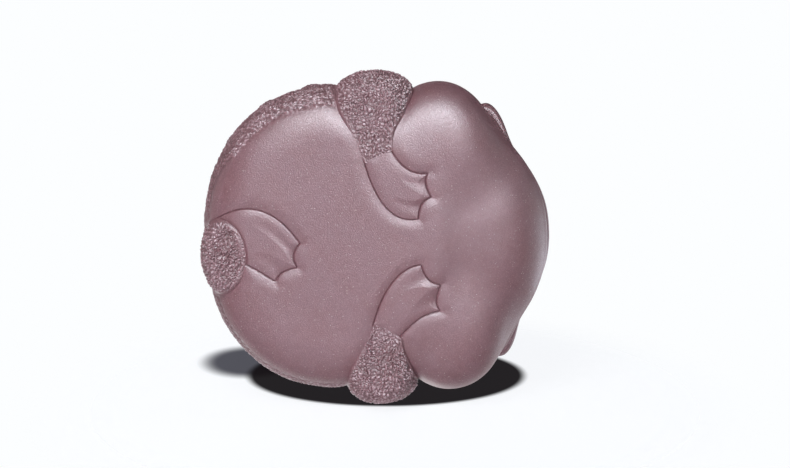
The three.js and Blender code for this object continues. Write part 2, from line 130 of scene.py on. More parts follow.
LEGS = {
    "left": dict(sign=1, shift=-0.9, elbow=(38.05, 0.2, 12.4), elbow_size=(17.9, 20.6, 25.0),
                 ankle=(25.0, -1.9, 1.2), slant=18),
    "right": dict(sign=-1, shift=0.4, elbow=(37.55, -1.0, 12.4), elbow_size=(17.9, 23.4, 25.0),
                  ankle=(23.3, -1.9, 1.2), slant=10),
}
ELBOW_FULLNESS = 2.7
SHOULDER = (31.0, -5.5, 25.5)
FOREARM_TOP = (36.5, 1.5, 6.0)
LEG_MIDDLE = (35.5, -0.5, 9.5)
ARM_RADII = (8.6, 6.4)
FOREARM_RADII = (7.8, 4.5)
ELBOW_BLEND = 4.0
FOREARM_BLEND = 6.0
ANKLE_EDGE = 0.6                         # rounding where a foreleg ends over its foot
THIGH = dict(centre=(3.3, 42.0, 8.8), size=(25.0, 15.6, 23.0))

FRONT_FEET = {
    "left": dict(reach=(20.8, 19.8, 16), angle=(28.6, 51.6, 73.8),
                 inner_bow=(17.6, 0.4), outer_bow=(4.2, 8.4)),
    "right": dict(reach=(20.6, 18.7, 14.8), angle=(31.5, 51.8, 72.7),
                  inner_bow=(19.8, 0.2), outer_bow=(5.4, 6.8)),
}
HEEL_WIDTH = 8.6
HEEL_TUCK = 2.0
WEB_DIP = 1.5
HIND_ANKLE = (0.6, 40.6)
HIND_FOOT = dict(reach=(19.6, 19.8, 16.2), angle=(-91.2, -70.8, -49.4), inner_bow=(-17.4, -8.8),
                 outer_bow=(5.4, -5.2), heel=((-6.8, 6.8), (4.4, -1.6)))

EYE_RADIUS = 5.6
LID_BED = 2.2                            # how deep a lid is let into the head
LID_THICKNESS = 1.4
LID_SETBACK = 1.0                        # how far the lid's edge lies behind the middle of the eyeball
EYE_LOOK = np.array([0.42, -0.86, 0.4]) / math.hypot(0.42, 0.86, 0.4)


# signed distances

def ovoid(p, centre, size, fullness=2.0):
    """First-order distance to an ellipsoid whose outline in plan is a superellipse:
    (whole - 1) over the length of its gradient, where whole is 1 on the skin."""
    rx, ry, rz = (s / 2 for s in size)
    x = np.abs(p[..., 0] - centre[0]) / rx + 1e-9
    y = np.abs(p[..., 1] - centre[1]) / ry + 1e-9
    z = np.abs(p[..., 2] - centre[2]) / rz + 1e-9
    if fullness == 2.0:
        plan = np.hypot(x, y)
        turn_x, turn_y = x / plan, y / plan
    else:
        plan = (x ** fullness + y ** fullness) ** (1 / fullness)
        turn_x, turn_y = (x / plan) ** (fullness - 1), (y / plan) ** (fullness - 1)
    whole = np.hypot(plan, z)
    slope = plan / whole
    steepness = (slope * turn_x / rx) ** 2 + (slope * turn_y / ry) ** 2 + (z / whole / rz) ** 2
    return (whole - 1) / np.sqrt(steepness)


def tapered_rod(p, a, b, radii):
    """Distance to the line from a to b, less a radius that changes evenly along it."""
    axis = np.subtract(b, a)
    along = np.clip(((p - a) @ axis) / (axis @ axis), 0, 1)
    radius = radii[0] + (radii[1] - radii[0]) * along
    return np.linalg.norm(p - a - along[..., None] * axis, axis=-1) - radius


def blend_union(a, b, width):
    """The lesser of two distances, smoothed by a parabola where they are within width."""
    h = np.maximum(width - np.abs(a - b), 0) / width
    return np.minimum(a, b) - h * h * width / 4


def blend_cut(a, b, width):
    return -blend_union(-a, -b, width)


def smooth(low, high, x):
    """0 below low, 1 above high, an S curve between."""
    t = np.clip((x - low) / (high - low), 0, 1)
    return t * t * (3 - 2 * t)


def to_head(p):
    """The point in the head's own frame, turned and set aside on the trunk, with x made positive."""
    c, s = math.cos(HEAD_TURN), math.sin(HEAD_TURN)
    x = c * p[..., 0] - s * p[..., 1] - HEAD_ASIDE
    return np.stack([np.abs(x), s * p[..., 0] + c * p[..., 1], p[..., 2]], -1)


def from_head(place):
    c, s = math.cos(HEAD_TURN), math.sin(HEAD_TURN)
    x, y = place[0] + HEAD_ASIDE, place[1]
    return np.array([c * x + s * y, -s * x + c * y, place[2]])


def lip_distance(half):
    """Ellipsoid of the upper lip at a corner of the mouth, turned in plan."""
    c, s = math.cos(LIP_TURN), math.sin(LIP_TURN)
    x, y = half[..., 0] - LIP_CENTRE[0], half[..., 1] - LIP_CENTRE[1]
    own = np.stack([c * x + s * y, -s * x + c * y, half[..., 2] - LIP_CENTRE[2]], -1)
    return ovoid(own, (0, 0, 0), LIP_SIZE)


def body_distance(p):
    """The whole body without limbs: trunk, crown, chin, jowls, brows and lips smoothed into one
    another, and cut flat at the ground with a wide roll."""
    half = to_head(p)
    d = ovoid(p, **TORSO)
    d = blend_union(d, ovoid(half, **CROWN), CROWN_BLEND)
    d = blend_union(d, ovoid(half, **CHIN), CHIN_BLEND)
    d = blend_union(d, ovoid(half, **JOWL), JOWL_BLEND)
    d = blend_union(d, ovoid(half, **BROW), BROW_BLEND)
    d = blend_union(d, lip_distance(half), LIP_BLEND)
    return blend_cut(d, -p[..., 2], BELLY_ROLL)


def leg_frame(p, leg):
    """The points as seen from a left leg."""
    return np.stack([p[..., 0] * leg["sign"], p[..., 1] - leg["shift"], p[..., 2]], -1)


def ankle_axis(leg):
    """Plan direction square to the cut at a leg's end: along the forearm, turned by the slant."""
    x, y = (FOREARM_TOP[k] - leg["ankle"][k] for k in (0, 1))
    turn = math.atan2(y, x) + math.radians(leg["slant"])
    return np.array([math.cos(turn), math.sin(turn)])


def foreleg_distance(p, leg):
    """Elbow ovoid, upper arm and forearm smoothed together, squared off at the ankle."""
    own = leg_frame(p, leg)
    arm = tapered_rod(own, leg["elbow"], SHOULDER, ARM_RADII)
    forearm = tapered_rod(own, FOREARM_TOP, leg["ankle"], FOREARM_RADII)
    past_ankle = (np.array(leg["ankle"][:2]) - own[..., :2]) @ ankle_axis(leg)
    d = blend_union(ovoid(own, leg["elbow"], leg["elbow_size"], ELBOW_FULLNESS), arm, ELBOW_BLEND)
    d = blend_union(d, forearm, FOREARM_BLEND)
    return blend_cut(d, past_ankle, ANKLE_EDGE)


def thigh_distance(p):
    return ovoid(p, **THIGH)


def limbs_distance(p):
    d = np.minimum(foreleg_distance(p, LEGS["left"]), foreleg_distance(p, LEGS["right"]))
    return np.minimum(d, thigh_distance(p))


def march(distance, start, direction, reach=REACH, steps=44, grow=0.0):
    """Points where the rays from start meet the skin that lies grow outside distance zero,
    found by stepping inwards by a share of the distance."""
    t = np.full(direction.shape[:-1], float(reach))
    for _ in range(steps):
        t = t - 0.85 * (distance(start + direction * t[..., None]) - grow)
    return start + direction * t[..., None]


def outward(distance, p, probe=0.02):
    """Unit gradient of a distance."""
    here = distance(p)
    g = np.stack([distance(p + probe * np.eye(3)[i]) - here for i in range(3)], -1)
    return g / (np.linalg.norm(g, axis=-1, keepdims=True) + 1e-12)


# outlines of the feet

def bow(a, control, b, count):
    """Quadratic curve from a to b with one control point."""
    t = np.linspace(0, 1, count)[:, None]
    return (1 - t) ** 2 * a + 2 * t * (1 - t) * control + t * t * b


def foot_curves(place, spec, heel):
    """The four edges of a foot in plan: inner, toes, outer and heel, each from end to end."""
    tips = [place(r * math.cos(math.radians(a)), r * math.sin(math.radians(a)))
            for r, a in zip(spec["reach"], spec["angle"])]
    middle = (heel[0] + heel[1]) / 2
    webs = []
    for a, b in zip(tips, tips[1:]):
        centre = (a + b) / 2
        inward = (middle - centre) / np.linalg.norm(middle - centre)
        webs.append(bow(a, centre + inward * 2 * WEB_DIP, b, 61))
    return dict(
        inner=bow(heel[0], place(*spec["inner_bow"]), tips[0], 121),
        outer=bow(heel[1], place(*spec["outer_bow"]), tips[2], 121),
        toes=np.concatenate([webs[0], webs[1][1:]]),
        heel=bow(heel[0], middle, heel[1], 121),
    )


def front_foot(name):
    leg = LEGS[name]
    spec = FRONT_FEET[name]
    axis = ankle_axis(leg)

    def place(inward, forward):
        x, y = leg["ankle"][:2]
        return np.array([leg["sign"] * (x - inward), y + leg["shift"] - forward])

    back = -axis * HEEL_TUCK
    across = np.array([-axis[1], axis[0]]) * HEEL_WIDTH / 2
    return foot_curves(place, spec, [place(*(back - across)), place(*(back + across))])


def hind_foot():
    def place(x, y):
        return np.array([HIND_ANKLE[0] + x, HIND_ANKLE[1] + y])

    return foot_curves(place, HIND_FOOT, [place(*p) for p in HIND_FOOT["heel"]])


FEET = {"left": front_foot("left"), "right": front_foot("right"), "hind": hind_foot()}


def outline_distance(p, curves):
    """Signed plan distance from points to a foot's outline, below zero inside it."""
    ring = np.concatenate([curves["inner"][:-1:4], curves["toes"][:-1:3],
                           curves["outer"][::-4][:-1], curves["heel"][::-12][:-1]])
    a, b = ring, np.roll(ring, -1, axis=0)
    near = np.full(p.shape[:-1], 1e9)
    inside = np.zeros(p.shape[:-1], bool)
    x, y = p[..., 0], p[..., 1]
    for (ax, ay), (bx, by) in zip(a, b):
        ex, ey = bx - ax, by - ay
        t = np.clip(((x - ax) * ex + (y - ay) * ey) / (ex * ex + ey * ey + 1e-12), 0, 1)
        near = np.minimum(near, np.hypot(x - ax - t * ex, y - ay - t * ey))
        if abs(ey) > 1e-12:
            inside ^= ((ay > y) != (by > y)) & (x < ax + (y - ay) / ey * ex)
    return np.where(inside, -near, near)


# clay textures in relief

GRAIN_SIZE = 1.05                        # across one grain of the hide
FURROW_PITCH = 0.98                      # from one furrow of the hide to the next
RING_MIDDLE = (40.5, -0.6, 2.5)          # middle of the rings on an elbow's hide
BOW_MIDDLE = (9.0, 36.0, 6.0)            # middle of the bows on the thigh's hide


def lattice_random(cell, seed):
    """Three repeatable numbers from 0 to 1 for each lattice cell."""
    x, y, z = (cell[..., k].astype(np.int64) for k in range(3))
    h = (x * 374761393 + y * 668265263 + z * 2147483647 + seed * 974711) & 0xFFFFFFFF
    out = []
    for k in range(3):
        h = ((h ^ (h >> 13)) * (1274126177 + 2 * k)) & 0xFFFFFFFF
        out.append(((h ^ (h >> 16)) & 0xFFFF) / 65535.0)
    return np.stack(out, -1)


def cells(p, seed):
    """Distances to the nearest and second nearest of one scattered point per lattice cell."""
    base = np.floor(p)
    near = np.full(p.shape[:-1], 9.0)
    second = near.copy()
    for step in np.ndindex(3, 3, 3):
        cell = base + np.array(step) - 1
        d = np.linalg.norm(cell + 0.15 + 0.7 * lattice_random(cell, seed) - p, axis=-1)
        second = np.minimum(second, np.maximum(near, d))
        near = np.minimum(near, d)
    return near, second


def lumps(p, seed):
    """Smooth value noise from -1 to 1 with one value per lattice corner."""
    base = np.floor(p)
    f = p - base
    f = f * f * (3 - 2 * f)
    total = np.zeros(p.shape[:-1])
    for step in np.ndindex(2, 2, 2):
        x, y, z = (f[..., k] if step[k] else 1 - f[..., k] for k in range(3))
        total = total + x * y * z * lattice_random(base + np.array(step), seed)[..., 0]
    return 2 * total - 1


def pebbles(p, seed=1, lines=None):
    """Height of leathery grains: flat-topped cells about a millimetre across with creases
    between them, wandering a little, over low lumps. Where lines are given, in millimetres across
    the run of the hide, broken furrows that follow them cut the grains into long ones."""
    wander = np.stack([lumps(p / 2.4, seed + k) for k in (5, 6, 7)], -1)
    q = p + 0.8 * wander
    near, second = cells(q / GRAIN_SIZE, seed)
    grain = smooth(0.0, 0.42, second - near) * (1 - 0.5 * near)
    height = 0.46 * (grain - 0.5) + 0.1 * lumps(p / 3.7, seed + 3)
    if lines is None:
        return height
    furrow = 0.5 + 0.5 * np.cos(2 * math.pi * (lines / FURROW_PITCH + 0.8 * lumps(p / 1.5, seed + 9)))
    return 0.75 * height + 0.26 * (furrow - 0.5) * smooth(-0.7, 0.3, lumps(p / 1.9, seed + 11))


def leg_lines(p, leg):
    """Millimetres across the run of a foreleg's hide: rings round the elbow's lowest place, and
    lines along the forearm."""
    own = leg_frame(p, leg)
    rings = np.linalg.norm(own - np.array(RING_MIDDLE), axis=-1)
    axis = np.array([FOREARM_TOP[k] - leg["ankle"][k] for k in (0, 1)])
    axis = axis / np.hypot(*axis)
    reach = own[..., :2] - np.array(FOREARM_TOP[:2])
    across = reach[..., 0] * axis[1] - reach[..., 1] * axis[0]
    share = smooth(-3.0, 9.0, -(reach @ axis)) * smooth(12.0, 3.0, p[..., 2])
    return rings * (1 - share) + across * share


def thigh_lines(p):
    """Millimetres across the run of the thigh's hide: bows round the inner end of the thigh."""
    return np.linalg.norm(p - np.array(BOW_MIDDLE), axis=-1)


# relief of the trunk

GROOVE_DEPTH = 0.5
GROOVE_WIDTH = 1.5
BED_SINK = 1.7
HEAD_SINK = 0.09                         # keeps the snout's relief inside the CAD model's box
SLIT_DEPTH = 1.5
LOWER_LIP_RISE = 0.26
UPPER_LIP_RISE = 0.2
NECK_FOLD_DEPTH = 0.35
HIDE_LOW = 2.3                           # height at which the hide begins on the right flank
HIDE_LEFT_RISE = 2.7                     # and how much higher on the left one
HIDE_TAIL_RISE = 4.0                     # and beside the tail


def limb_groove(p):
    """How far the clay dips near a leg or foot: a soft slope down to its edge, and on under it.
    With it, how close the nearest limb is."""
    d = limbs_distance(p)
    low = p[..., 2] < 11
    for curves in FEET.values():
        d = np.minimum(d, np.where(low, outline_distance(p, curves), 9.0))
    outside = GROOVE_DEPTH * np.exp(-(np.maximum(d, 0) / GROOVE_WIDTH) ** 1.5)
    return outside + BED_SINK * smooth(0.0, 0.7, -d), d


def head_share(p):
    """1 round the front of the head, fading to 0 where the mouth ends behind the jowls."""
    return smooth(-14.0, -24.0, p[..., 1])


def mouth_relief(p):
    """The slit between the lips, with a soft rim on the lower lip and a fuller one on the upper."""
    dz = p[..., 2] - MOUTH_HEIGHT
    slit = -SLIT_DEPTH * np.exp(-(dz / 0.55) ** 2)
    lower = LOWER_LIP_RISE * np.exp(-((dz + 1.9) / 1.1) ** 2)
    upper = UPPER_LIP_RISE * np.exp(-((dz - 2.1) / 1.3) ** 2)
    return head_share(p) * (slit + lower + upper)


def neck_y(z):
    """Where the neck's parting plane stands at a height."""
    return -NECK_FORWARD + NECK_LEAN * (z - MOUTH_HEIGHT) / (NECK_TOP - MOUTH_HEIGHT)


def neck_relief(p):
    """A soft fold behind the head."""
    d = p[..., 1] - neck_y(p[..., 2])
    return -NECK_FOLD_DEPTH * np.exp(-(d / 1.3) ** 2) * smooth(16, 24, p[..., 2])


def parting_height(y):
    """Height of the belly's edge: low on the flanks, climbing before the legs to the mouth."""
    return PARTING_HEIGHT + (MOUTH_HEIGHT - PARTING_HEIGHT) * smooth(-PARTING_TURN, PARTING_TURN, -y)


def rough_height(p):
    """Height at which the rough hide of the back begins."""
    left = smooth(-15, 15, p[..., 0])
    return HIDE_LOW + HIDE_LEFT_RISE * left + HIDE_TAIL_RISE * smooth(37, 47, p[..., 1]) * (1 - left)


def dressed(p):
    """The trunk's skin with its grooves, mouth, neck fold and grains, moved along its normal; with it
    how much of the hide each point has, and how high its grain stands there."""
    normal = outward(body_distance, p)
    sink, near = limb_groove(p)
    height = mouth_relief(p) + neck_relief(p) - sink - HEAD_SINK * head_share(p)
    height = height + 0.10 * lumps(p / 9.0, 21) * (1 - np.exp(-((p[..., 2] - MOUTH_HEIGHT) / 2.5) ** 2))
    above = p[..., 2] - np.maximum(rough_height(p), parting_height(p[..., 1]) - 2.0)
    behind = p[..., 1] - neck_y(p[..., 2])
    share = smooth(-0.2, 0.8, above) * smooth(0.2, 1.3, near) * smooth(0.0, 3.0, behind)
    rough = share > 0
    relief = np.zeros(share.shape)
    relief[rough] = pebbles(p[rough])
    right = smooth(15, -20, p[..., 0])
    height = height + share * (0.75 + 0.45 * right) * relief + share * right * 0.4 * lumps(p / 6.5, 41)
    return p + normal * height[..., None], share, relief * share


# meshes

NO_TRIANGLES = np.zeros((0, 3), int)


def clean_faces(quads, tris):
    """Quads whose neighbouring corners coincide become triangles; faces without area go."""
    same = quads == np.roll(quads, -1, axis=1)
    count = same.sum(1)
    part = quads[count == 1]
    keep = np.ones(part.shape, bool)
    keep[np.arange(len(part)), np.argmax(same[count == 1], axis=1)] = False
    return quads[count == 0], np.concatenate([part[keep].reshape(-1, 3), tris])


def grid_quads(index):
    """Quads over a grid of vertex numbers."""
    return np.stack([index[:-1, :-1], index[1:, :-1], index[1:, 1:], index[:-1, 1:]], -1).reshape(-1, 4)


def make_piece(name, points, quads, finish, node, hide=None, relief=None, tris=NO_TRIANGLES):
    """A closed mesh in metres with its faces outwards, riding on the body and standing for a node. Hide
    and relief, given for the first of its points and 0 at the rest, are stored for the finish."""
    points = points.reshape(-1, 3)
    quads, tris = clean_faces(quads, tris)
    used = np.unique(np.concatenate([quads.ravel(), tris.ravel()]))
    renumber = np.zeros(len(points), np.int64)
    renumber[used] = np.arange(len(used))
    total = len(points)
    points, quads, tris = points[used], renumber[quads], renumber[tris]
    fans = np.concatenate([quads[:, [0, 1, 2]], quads[:, [0, 2, 3]], tris])
    a, b, c = (points[fans[:, i]] for i in range(3))
    if np.einsum("ij,ij->i", a, np.cross(b, c)).sum() < 0:
        quads, tris = quads[:, ::-1], tris[:, ::-1]
    mesh = bpy.data.meshes.new(name)
    mesh.vertices.add(len(points))
    mesh.vertices.foreach_set("co", (points * MM).astype(np.float32).ravel())
    loops = np.concatenate([quads.ravel(), tris.ravel()]).astype(np.int32)
    starts = np.concatenate([np.arange(len(quads)) * 4, len(quads) * 4 + np.arange(len(tris)) * 3])
    mesh.loops.add(len(loops))
    mesh.loops.foreach_set("vertex_index", loops)
    mesh.polygons.add(len(starts))
    mesh.polygons.foreach_set("loop_start", starts.astype(np.int32))
    mesh.update(calc_edges=True)
    mesh.validate()
    mesh.shade_smooth()
    mesh.set_sharp_from_angle(angle=math.radians(62))
    for label, values in (("hide", hide), ("relief", relief)):
        if values is not None:
            filled = np.zeros(total, np.float32)
            filled[:values.size] = values.ravel()
            mesh.attributes.new(label, "FLOAT", "POINT").data.foreach_set("value", filled[used])
    material, slot = finish
    mesh.materials.append(material)
    piece = bpy.data.objects.new(name, mesh)
    bpy.context.scene.collection.objects.link(piece)
    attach(piece, "root")
    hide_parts(node)


def slerp(a, b, t):
    """Unit directions part of the way from a to b."""
    angle = np.arccos(np.clip((a * b).sum(-1, keepdims=True), -1, 1))
    t = np.asarray(t)[..., None]
    return (np.sin((1 - t) * angle) * a + np.sin(t * angle) * b) / np.maximum(np.sin(angle), 1e-9)


def settle(around, start, end, direction, beyond):
    """For each angle round the heart, the direction whose skin point lies on a line, found by halving
    a range of a second angle, given in degrees."""
    low = np.full(around.shape, math.radians(start))
    high = np.full(around.shape, math.radians(end))
    for _ in range(22):
        middle = (low + high) / 2
        d = direction(np.cos(around), np.sin(around), np.cos(middle), np.sin(middle))
        past = beyond(march(body_distance, HEART, d))
        high = np.where(past, middle, high)
        low = np.where(past, low, middle)
    return d


def parting_directions(azimuth):
    """Directions that meet the skin on the parting line."""
    return settle(azimuth, -60, 30, lambda ca, sa, ce, se: np.stack([ca * ce, sa * ce, se], -1),
                  lambda p: p[..., 2] > parting_height(p[..., 1]))


def make_belly(finish):
    """Outer skin: a square grid bent into a disc of directions round straight down, its edge on
    the parting line. Inner skin: rings of directions that close in a pole."""
    n = int(290 * FINE) // 2 * 2
    s = np.linspace(-1, 1, n + 1)
    u, v = np.meshgrid(s, s, indexing="ij")
    wide = np.abs(u) >= np.abs(v)
    far, near = np.where(wide, u, v), np.where(wide, v, u)
    radius = np.abs(far)
    bend = near / np.where(radius > 0, far, 1) * math.pi / 4
    angle = np.where(wide, bend, math.pi / 2 - bend) + np.where(far < 0, math.pi, 0)
    ring = np.linspace(0, 2 * math.pi, 4 * n, endpoint=False)
    edge = parting_directions(ring)
    at = (angle / (2 * math.pi) * 4 * n) % (4 * n)
    low = np.floor(at).astype(int) % (4 * n)
    share = (at - np.floor(at))[..., None]
    rim = edge[low] * (1 - share) + edge[(low + 1) % (4 * n)] * share
    rim /= np.linalg.norm(rim, axis=-1, keepdims=True)
    down = np.array([0, 0, -1.0])
    direction = slerp(down, rim, radius ** 0.86)
    outer, hide, relief = dressed(march(body_distance, HEART, direction))
    outer[..., 2] = np.maximum(outer[..., 2], 0)
    index = np.arange((n + 1) ** 2).reshape(n + 1, n + 1)
    border = np.concatenate([index[:-1, 0], index[-1, :-1], index[:0:-1, -1], index[0, :0:-1]])
    border_direction = direction.reshape(-1, 3)[border]
    rings = 6
    inner_direction = slerp(down, border_direction, np.linspace(1, 0, rings + 1)[:-1, None])
    inner = march(body_distance, HEART, inner_direction, grow=-WALL)
    pole = march(body_distance, HEART, down[None], grow=-WALL)
    points = np.concatenate([outer.reshape(-1, 3), inner.reshape(-1, 3), pole])
    inner_index = index.size + np.arange(rings * len(border)).reshape(rings, len(border))
    rows = np.concatenate([border[None], inner_index])
    rows = np.concatenate([rows, rows[:, :1]], axis=1)
    quads = np.concatenate([grid_quads(index), grid_quads(rows)])
    last = rows[-1]
    fan = np.stack([last[:-1], np.full(len(border), len(points) - 1), last[1:]], -1)
    make_piece("smooth_belly", points, quads, finish, "belly_plate", hide, relief, fan)


def make_shell(name, first, last, corners, columns, rows, finish, node):
    """A shell over the top of the trunk, between two azimuths of the parting line and the neck's arc
    between the two corners: outer skin, then inner skin back, as one closed band whose ends run
    together in the corners. Its rows lie closer near the parting line."""
    columns = int(columns * FINE) + 1
    rows = int(rows * FINE)
    lower = parting_directions(np.linspace(first, last, columns))
    upper = neck_arc(*corners, columns)
    outer_t = np.linspace(0, 1, rows)
    outer_t = 0.65 * outer_t + 0.35 * outer_t ** 2
    inner_t = np.linspace(1, 0, 9)
    outer, hide, relief = dressed(march(body_distance, HEART, slerp(lower, upper, outer_t[:, None])))
    inner = march(body_distance, HEART, slerp(lower, upper, inner_t[:, None]), grow=-WALL)
    points = np.concatenate([outer, inner])
    index = np.arange(points.shape[0] * points.shape[1]).reshape(points.shape[:2])
    for column in (0, -1):
        index[:rows, column] = index[0, column]
        index[rows:, column] = index[rows, column]
    index = np.concatenate([index, index[:1]])
    make_piece(name, points, grid_quads(index), finish, node, hide, relief)


def make_trunk(smooth_clay, rough_clay):
    make_belly(smooth_clay)
    start = np.array([math.radians(-11.0), math.radians(191.0)])
    ends = parting_directions(start)
    # the neck's corners are the places where the parting line meets the neck plane
    for _ in range(6):
        p = march(body_distance, HEART, ends)
        start = start + (neck_y(p[..., 2]) - p[..., 1]) * np.array([1, -1]) / np.abs(p[..., 0])
        ends = parting_directions(start)
    make_shell("warty_back", start[0], start[1], ends, 380, 248, rough_clay, "back_shell")
    make_shell("toad_head", start[1], start[0] + 2 * math.pi, ends[::-1], 270, 260,
               smooth_clay, "head_crown")


def neck_arc(a, b, count):
    """Directions from corner a over the top to corner b whose skin points lie in the neck plane."""
    side = np.linspace(math.atan2(a[2], a[0]), math.atan2(b[2], b[0]), count)
    d = settle(side, -50, 40, lambda cs, ss, cl, sl: np.stack([cs * cl, sl, ss * cl], -1),
               lambda p: p[..., 1] > neck_y(p[..., 2]))
    d[0], d[-1] = a, b
    return d


# limbs

def cube_ball(n):
    """Directions on a box blown up into a ball, with merged edges, and the quads over them."""
    corner = np.tan(np.linspace(-1, 1, n + 1) * math.pi / 4)
    i, j = np.meshgrid(np.arange(n + 1), np.arange(n + 1), indexing="ij")
    flat = []
    for axis in range(3):
        for side in (0, n):
            k = np.full_like(i, side)
            order = [i, j] if side else [j, i]
            order.insert(axis, k)
            if axis == 1:
                order[0], order[2] = order[2], order[0]
            flat.append(np.stack(order, -1))
    lattice = np.stack(flat)
    code = (lattice[..., 0] * (n + 1) + lattice[..., 1]) * (n + 1) + lattice[..., 2]
    values, index = np.unique(code, return_inverse=True)
    index = index.reshape(code.shape)
    z = values % (n + 1)
    y = values // (n + 1) % (n + 1)
    x = values // (n + 1) ** 2
    direction = np.stack([corner[x], corner[y], corner[z]], -1)
    direction /= np.linalg.norm(direction, axis=-1, keepdims=True)
    return direction, np.concatenate([grid_quads(index[f]) for f in range(6)])


def let_in(p, depth=BED_DEPTH):
    """Points deeper in the body than the bed are lifted to its floor along the body's normal."""
    for _ in range(3):
        d = body_distance(p)
        deep = np.maximum(-depth - d, 0)
        p = p + outward(body_distance, p) * deep[..., None]
    return p


def make_leg(name, distance, heart, lines, seed, finish, node):
    """A limb's skin blown up from its heart, flat on the ground, with grains that run along lines and
    fade out at its edges, and let into the body. On the ground the grains lie wholly inside."""
    direction, quads = cube_ball(int(128 * FINE))

    def grounded(p):
        return blend_cut(distance(p), 0.02 - p[..., 2], 1.3)

    p = march(grounded, np.asarray(heart, float), direction, reach=45.0)
    inside = np.maximum(body_distance(p), -distance(p))
    share = smooth(0.0, 0.6, inside)
    relief = pebbles(p, seed, lines(p))
    height = share * (1.2 * relief + 0.12 * lumps(p / 5.0, seed + 2) - 0.3 * smooth(1.0, 0.1, p[..., 2]))
    p = p + outward(grounded, p) * height[..., None]
    p = let_in(p)
    p[..., 2] = np.maximum(p[..., 2], 0)
    make_piece(name, p, quads, finish, node, share, relief * share)


def coons(curves, across, along):
    """A plan grid filled in between the four edges of a foot: the sum of the two ruled surfaces
    less the bilinear one. Across runs from the inner to the outer edge, along from heel to toes."""
    def at(curve, t):
        x = t * (len(curve) - 1)
        i = np.minimum(x.astype(int), len(curve) - 2)
        f = (x - i)[:, None]
        return curve[i] * (1 - f) + curve[i + 1] * f

    inner, outer = at(curves["inner"], along), at(curves["outer"], along)
    heel, toes = at(curves["heel"], across), at(curves["toes"], across)
    u, v = across[None, :, None], along[:, None, None]
    ruled = (1 - u) * inner[:, None] + u * outer[:, None] + (1 - v) * heel[None] + v * toes[None]
    corner = (1 - u) * (1 - v) * heel[0] + u * (1 - v) * heel[-1] + (1 - u) * v * toes[0] + u * v * toes[-1]
    return ruled - corner


def under_skin(plan):
    """The point of the body's underside above each plan place."""
    start = np.concatenate([plan, np.zeros(plan.shape[:-1] + (1,))], -1)
    down = np.broadcast_to([0.0, 0.0, -1.0], start.shape)
    return march(body_distance, start, down, reach=12.0, steps=60)


def crowd(count):
    """Values from 0 to 1 that crowd together towards both ends."""
    t = np.linspace(-1, 1, count)
    return 0.5 + 0.5 * np.sign(t) * (1 - (1 - np.abs(t)) ** 1.5)


RIM_DROP = 0.42                          # rounding of a foot's rim
LINE_DROP = 0.6                          # thin line round a foot
CREASE_DROP = 0.7                        # line where the hind foot meets the thigh
WEB_DROP = 0.36
HEEL_DROP = 0.32
PAD_RISE = 0.18                          # swelling in the middle of a foot


def make_foot(name, curves, finish, node):
    """A patch of the body's own skin between the foot's edges: rounded rim, three toe ribs, webs
    hollowed between them, and a wall that goes down into the bed."""
    across = crowd(int(120 * FINE))
    along = crowd(int(130 * FINE))
    plan = coons(curves, across, along)
    skin = under_skin(plan)
    normal = outward(body_distance, skin)
    u, v = np.meshgrid(across, along)
    edge = -np.minimum(outline_distance(skin, curves), 0)
    rim = -RIM_DROP * np.exp(-(edge / 1.5) ** 1.6) - LINE_DROP * np.exp(-(edge / 0.3) ** 2)
    crease = -CREASE_DROP * np.exp(-((thigh_distance(skin) - 0.1) / 0.45) ** 2)
    ribs = 0.5 + 0.5 * np.cos(2 * math.pi * 2 * u)
    web = -WEB_DROP * smooth(0.12, 0.95, v) * (1 - ribs ** 0.8)
    heel = -HEEL_DROP * (1 - smooth(0.0, 0.42, v))
    pad = PAD_RISE * np.sin(math.pi * v) * np.sin(math.pi * u)
    top = skin + normal * (rim + crease + web + heel + pad)[..., None]
    top[..., 2] = np.maximum(top[..., 2], 0)
    bottom = skin - normal * (BED_DEPTH - 0.5)
    points = np.concatenate([top.reshape(-1, 3), bottom.reshape(-1, 3)])
    count = u.size
    index = np.arange(count).reshape(u.shape)
    border = np.concatenate([index[0, :-1], index[:-1, -1], index[-1, :0:-1],
                             index[:0:-1, 0], index[0, :1]])
    wall = np.stack([border + count, border])
    quads = np.concatenate([grid_quads(index), grid_quads(index + count)[:, ::-1], grid_quads(wall)])
    make_piece(name, points, quads, finish, node)


def ball_quads(rows, columns):
    """Faces of a closed surface of rows of points round an axis between two poles. The points are
    the first pole, the rows, and the last pole."""
    index = 1 + np.arange(rows * columns).reshape(rows, columns)
    index = np.concatenate([index, index[:, :1]], axis=1)
    pole = np.zeros((1, columns + 1), int)
    return grid_quads(np.concatenate([pole, index, pole + 1 + rows * columns]))


def axes_for(direction):
    """Two directions square to the given one."""
    side = np.cross(direction, [0.0, 0.0, 1.0])
    if np.linalg.norm(side) < 0.2:
        side = np.cross(direction, [0.0, 1.0, 0.0])
    side /= np.linalg.norm(side)
    return side, np.cross(side, direction)


def spin(axis, polar, columns):
    """Rows of directions at polar angles from an axis, all round it."""
    side, other = axes_for(axis)
    angle = np.linspace(0, 2 * math.pi, columns, endpoint=False)
    around = np.cos(angle)[:, None] * side + np.sin(angle)[:, None] * other
    return np.cos(polar)[:, None, None] * axis + np.sin(polar)[:, None, None] * around[None]


def node_middle(node):
    low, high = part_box(node)
    return np.array((low + high) / 2) / MM


